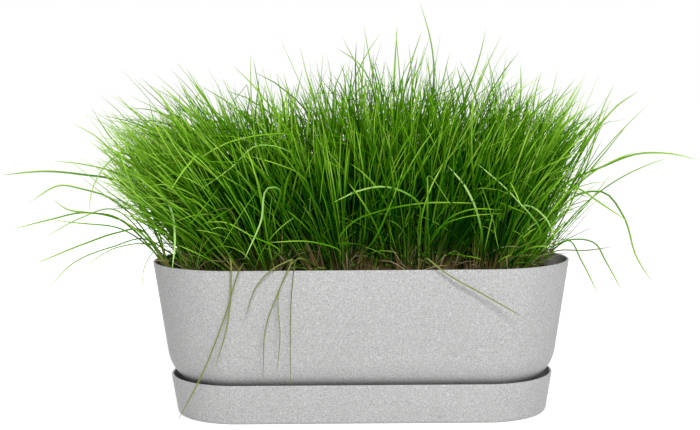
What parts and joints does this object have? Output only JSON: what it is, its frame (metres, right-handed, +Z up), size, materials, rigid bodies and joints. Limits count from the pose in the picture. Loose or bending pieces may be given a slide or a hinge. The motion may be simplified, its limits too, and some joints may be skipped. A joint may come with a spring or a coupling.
{
  "type": "planter pot",
  "caption": "Oblong round-ended plastic planter trough that stands in its own low saucer, filled with potting soil and planted with long loose grass.",
  "frame": {"origin": "centre of the saucer's flat underside, on the surface that the planter stands on", "axes": "+X along the trough, -Y towards the front that the picture shows, +Z up"},
  "size_m": [1.003, 0.3638, 0.5921],
  "materials": {
    "speckled_plastic": "light grey with a fine darker speckle, matte",
    "potting_soil": "dark brown crumbly potting soil of bark and peat, weighed as loose wood fibre",
    "grass": "bright green grass blades, straw brown at the foot"
  },
  "bodies": {
    "saucer": {"saucer": "speckled_plastic"},
    "pot": {"pot": "speckled_plastic"},
    "planting": {"soil": "potting_soil", "grass_plant_01": "grass", "grass_plant_02": "grass", "grass_plant_03": "grass", "grass_plant_04": "grass", "grass_plant_05": "grass", "grass_plant_06": "grass", "grass_plant_07": "grass", "grass_plant_08": "grass", "grass_plant_09": "grass", "grass_plant_10": "grass"}
  },
  "joints": [
    {"name": "pot_lift", "type": "slide", "parent": "saucer", "child": "pot", "axis": [0, 0, 1], "range_m": [0, 0.1]},
    {"name": "planting_lift", "type": "slide", "parent": "pot", "child": "planting", "axis": [0, 0, 1], "range_m": [0, 0.23]}
  ]
}
